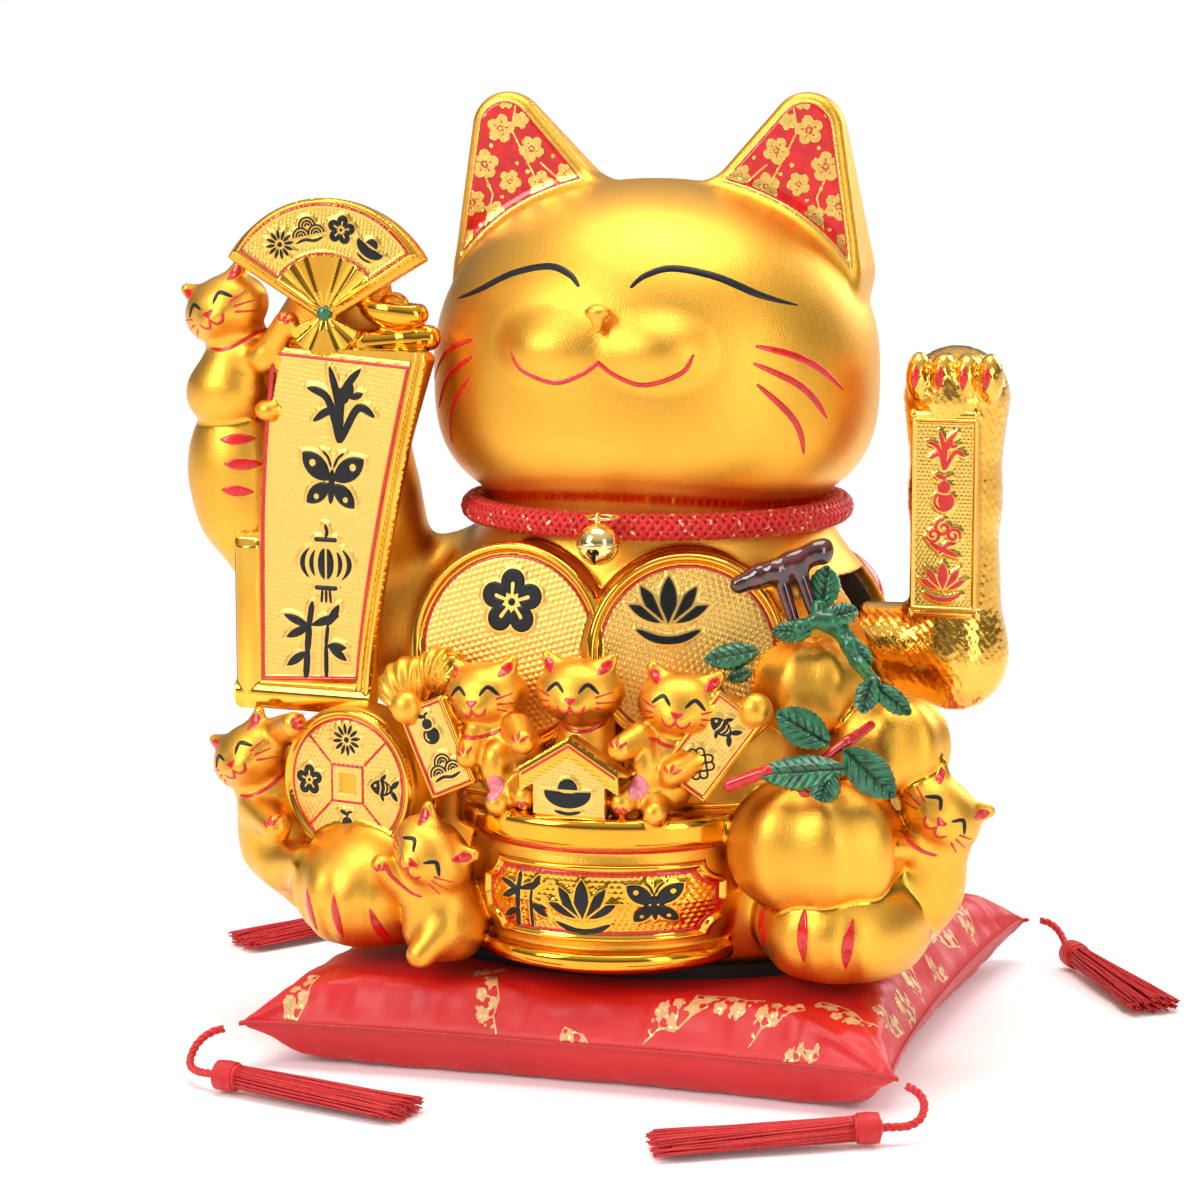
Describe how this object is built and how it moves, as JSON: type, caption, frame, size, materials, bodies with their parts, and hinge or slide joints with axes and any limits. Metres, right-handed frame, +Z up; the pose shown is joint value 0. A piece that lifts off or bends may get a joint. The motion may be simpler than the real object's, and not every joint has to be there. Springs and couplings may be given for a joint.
{
  "type": "beckoning cat figurine",
  "caption": "Gold ceramic beckoning cat on a red tasselled cushion, with a battery-driven swinging arm, bell collar and raised good-luck reliefs.",
  "frame": {"origin": "centre of the cushion's flat underside", "axes": "+Z up, -Y the cat's front, +X the cat's left hand (the swinging arm)"},
  "size_m": [0.3773, 0.2987, 0.3317],
  "materials": {
    "satin_gold": "sand-textured gold lustre over glaze",
    "bright_gold": "bright gold lustre, glossy",
    "arm_plate": "vacuum-plated, hammered",
    "arm_relief": "vacuum-plated relief with red tint",
    "leaf_green": "glossy enamel",
    "red_enamel": "glossy enamel",
    "twig_brown": "glossy glaze",
    "bell_brass": "polished",
    "rope_red": "braided cord with metallic flecks",
    "cushion_satin": "satin brocade",
    "tassel_silk": "twisted silk thread",
    "wadding": "loose polyester wadding",
    "felt": "felt",
    "ivory_plastic": "moulded",
    "black_plastic": "moulded",
    "steel": "ground",
    "iron": "plain",
    "copper_coil": "enamelled copper winding",
    "board_green": "solder mask",
    "cell_wrap": "plain shrink wrap over a steel can",
    "contact_steel": "nickel plated"
  },
  "bodies": {
    "cushion": {"cushion_cover": "cushion_satin", "cushion_filling": "wadding", "tassel_cord_front_left": "tassel_silk", "tassel_cord_front_right": "tassel_silk", "tassel_cord_back_left": "tassel_silk", "tassel_cord_back_right": "tassel_silk", "tassels": "tassel_silk"},
    "cat": {"base_pad": "felt", "base_plate": "ivory_plastic", "body_shell": "satin_gold", "raised_arm": "satin_gold", "scroll_plaque": "bright_gold", "fan_crest": "bright_gold", "ingots": "bright_gold", "fan_kitten": "satin_gold", "left_medallion": "bright_gold", "right_medallion": "bright_gold", "fortune_coin": "bright_gold", "coin_kitten": "satin_gold", "foot_kitten": "satin_gold", "left_foot": "satin_gold", "right_foot": "satin_gold", "left_banner": "bright_gold", "right_banner": "bright_gold", "row_kittens": "satin_gold", "house_tablet": "bright_gold", "treasure_bowl": "bright_gold", "persimmon_top": "satin_gold", "persimmon_side": "satin_gold", "persimmon_front": "satin_gold", "persimmon_kitten": "satin_gold", "leaves": "leaf_green", "branch": "red_enamel", "twig": "twig_brown", "back_pouch": "red_enamel", "neck_rope": "rope_red", "rope_clasp": "bell_brass", "bell_staple": "bell_brass", "drive_frame": "ivory_plastic", "drive_coil": "copper_coil", "circuit_board": "board_green", "frame_screws": "steel", "battery_box": "ivory_plastic", "batteries": "cell_wrap", "battery_contacts": "contact_steel", "power_socket": "black_plastic"},
    "arm": {"arm_front_shell": "arm_plate", "arm_back_shell": "arm_plate", "arm_scroll": "arm_relief", "arm_shaft": "steel", "swing_lever": "ivory_plastic", "counterweight": "iron"},
    "bell": {"bell_ring": "bell_brass", "bell_upper": "bell_brass", "bell_lower": "bell_brass"},
    "pellet": {"bell_pellet": "steel"},
    "battery_door": {"battery_door": "ivory_plastic"},
    "switch": {"switch_knob": "black_plastic"}
  },
  "joints": [
    {"name": "cat_lift", "type": "slide", "parent": "cushion", "child": "cat", "axis": [0, 0, 1], "range_m": [0, 0.06]},
    {"name": "arm_swing", "type": "hinge", "parent": "cat", "child": "arm", "pos_m": [0, 0, 0.138], "axis": [1, 0, 0], "range_deg": [-20, 20]},
    {"name": "bell_swing", "type": "hinge", "parent": "cat", "child": "bell", "pos_m": [0.002, -0.0777, 0.1896], "axis": [1, 0, 0], "range_deg": [-45, 3]},
    {"name": "pellet_rattle", "type": "slide", "parent": "bell", "child": "pellet", "axis": [0, 0, 1], "range_m": [0, 0.004]},
    {"name": "battery_door_hinge", "type": "hinge", "parent": "cat", "child": "battery_door", "pos_m": [0, 0.066, 0.0792], "axis": [1, 0, 0], "range_deg": [0, 75]},
    {"name": "power_switch", "type": "slide", "parent": "cat", "child": "switch", "axis": [0, 0, 1], "range_m": [0, 0.004]}
  ]
}
